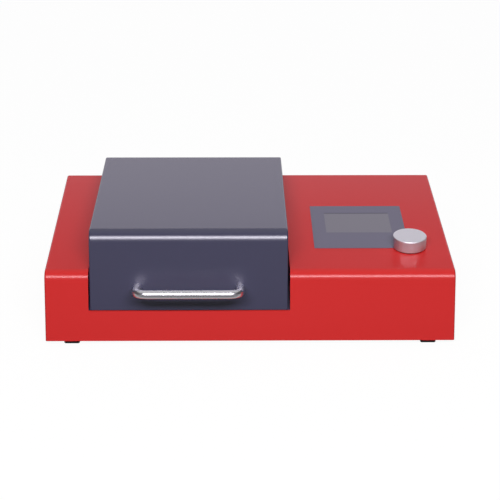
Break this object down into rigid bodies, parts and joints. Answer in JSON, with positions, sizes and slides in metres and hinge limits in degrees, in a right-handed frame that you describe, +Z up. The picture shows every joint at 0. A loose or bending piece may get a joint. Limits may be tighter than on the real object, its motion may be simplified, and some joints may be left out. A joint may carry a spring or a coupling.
{
  "type": "uv post-curing unit",
  "caption": "Bench curing unit with a hinged lid over a mirrored lamp chamber and a sloping deck with display and knob.",
  "frame": {"origin": "on the bench, at the bottom centre of the overall box", "axes": "+X to the right as seen from the front, +Y to the rear, +Z up"},
  "size_m": [0.42, 0.3022, 0.1165],
  "materials": {
    "red_powder_coat": "satin powder coat",
    "dark_grey_powder_coat": "satin powder coat",
    "zinc_plated_steel": "zinc plated",
    "stainless_steel": "brushed",
    "mirror_aluminium": "bright-rolled mirror finish",
    "aluminium": "turned, satin",
    "chrome": "polished plating",
    "nickel_brass": "nickel plated",
    "clear_glass": "polished",
    "grey_panel_film": "smooth film",
    "black_plastic": "moulded",
    "black_gloss_plastic": "moulded, glossy",
    "hose_plastic": "extruded",
    "black_rubber": "matt",
    "silicone": "matt",
    "white_board": "white solder resist",
    "green_board": "green solder resist",
    "lamp_dome": "clear dome"
  },
  "bodies": {
    "chassis": {"housing_hood": "red_powder_coat", "base_plate": "zinc_plated_steel", "rear_panel": "dark_grey_powder_coat", "well_pan": "dark_grey_powder_coat", "rubber_feet": "black_rubber", "foot_screws": "zinc_plated_steel", "rear_screws": "stainless_steel", "reflector_tub": "mirror_aluminium", "mouth_seal": "silicone", "lid_buffers": "black_rubber", "lower_window": "clear_glass", "lower_lamp_board": "white_board", "lower_lamps": "lamp_dome", "lower_heat_sink": "aluminium", "lower_sink_posts": "stainless_steel", "body_hinge_leaves": "stainless_steel", "hinge_pins": "stainless_steel", "body_hinge_screws": "stainless_steel", "display_panel": "grey_panel_film", "display_module": "black_plastic", "control_board": "green_board", "control_board_posts": "stainless_steel", "encoder_body": "black_plastic", "encoder_nut": "zinc_plated_steel", "power_entry": "black_plastic", "inlet_pins": "nickel_brass", "fuse_drawer": "black_plastic", "fan_frame": "black_plastic", "fan_guard": "chrome", "fan_screws": "stainless_steel", "power_supply": "zinc_plated_steel", "supply_terminals": "stainless_steel", "driver_board": "green_board", "driver_board_spacers": "stainless_steel", "gas_fitting": "nickel_brass", "gas_valve": "black_plastic", "inlet_hose": "hose_plastic", "chamber_hose": "hose_plastic", "gas_nozzle": "nickel_brass", "lid_switch": "black_plastic"},
    "lid": {"lid_shell": "dark_grey_powder_coat", "lid_liner": "mirror_aluminium", "upper_window": "clear_glass", "upper_lamp_board": "white_board", "upper_lamps": "lamp_dome", "upper_heat_sink": "aluminium", "upper_sink_posts": "stainless_steel", "handle": "chrome", "handle_screws": "zinc_plated_steel", "lid_hinge_leaves": "stainless_steel", "lid_hinge_screws": "stainless_steel"},
    "work_plate": {"work_plate": "clear_glass"},
    "push_cup": {"encoder_cup": "black_plastic"},
    "knob": {"knob": "aluminium", "encoder_shaft": "stainless_steel"},
    "power_rocker": {"power_rocker": "black_gloss_plastic"},
    "fan_rotor": {"fan_rotor": "black_plastic"},
    "switch_pin": {"lid_switch_pin": "black_gloss_plastic"}
  },
  "joints": [
    {"name": "lid_hinge", "type": "hinge", "parent": "chassis", "child": "lid", "pos_m": [-0.06285, 0.14141, 0.0904], "axis": [-1, 0, 0], "range_deg": [0, 80]},
    {"name": "work_plate_lift", "type": "slide", "parent": "chassis", "child": "work_plate", "axis": [0, 0, 1], "range_m": [0, 0.045]},
    {"name": "knob_push", "type": "slide", "parent": "chassis", "child": "push_cup", "axis": [0, -0.0694, 0.9976], "range_m": [-0.0005, 0], "stiffness_N_per_m": 2000, "springref_m": 0.0015},
    {"name": "knob_turn", "type": "hinge", "parent": "push_cup", "child": "knob", "pos_m": [0.1681, -0.05111, 0.07991], "axis": [0, -0.0694, 0.9976], "continuous": true},
    {"name": "rocker_tilt", "type": "hinge", "parent": "chassis", "child": "power_rocker", "pos_m": [0.08735, 0.13811, 0.066], "axis": [-1, 0, 0], "range_deg": [0, 18]},
    {"name": "fan_spin", "type": "hinge", "parent": "chassis", "child": "fan_rotor", "pos_m": [0.164, 0.12391, 0.048], "axis": [0, 1, 0], "continuous": true},
    {"name": "switch_pin_rise", "type": "slide", "parent": "chassis", "child": "switch_pin", "axis": [0, -0.2007, 0.9797], "range_m": [0, 0.003]}
  ],
  "couplings": [
    {"joint": "switch_pin_rise", "follows": "lid_hinge", "m_per_rad": 0.0021}
  ]
}
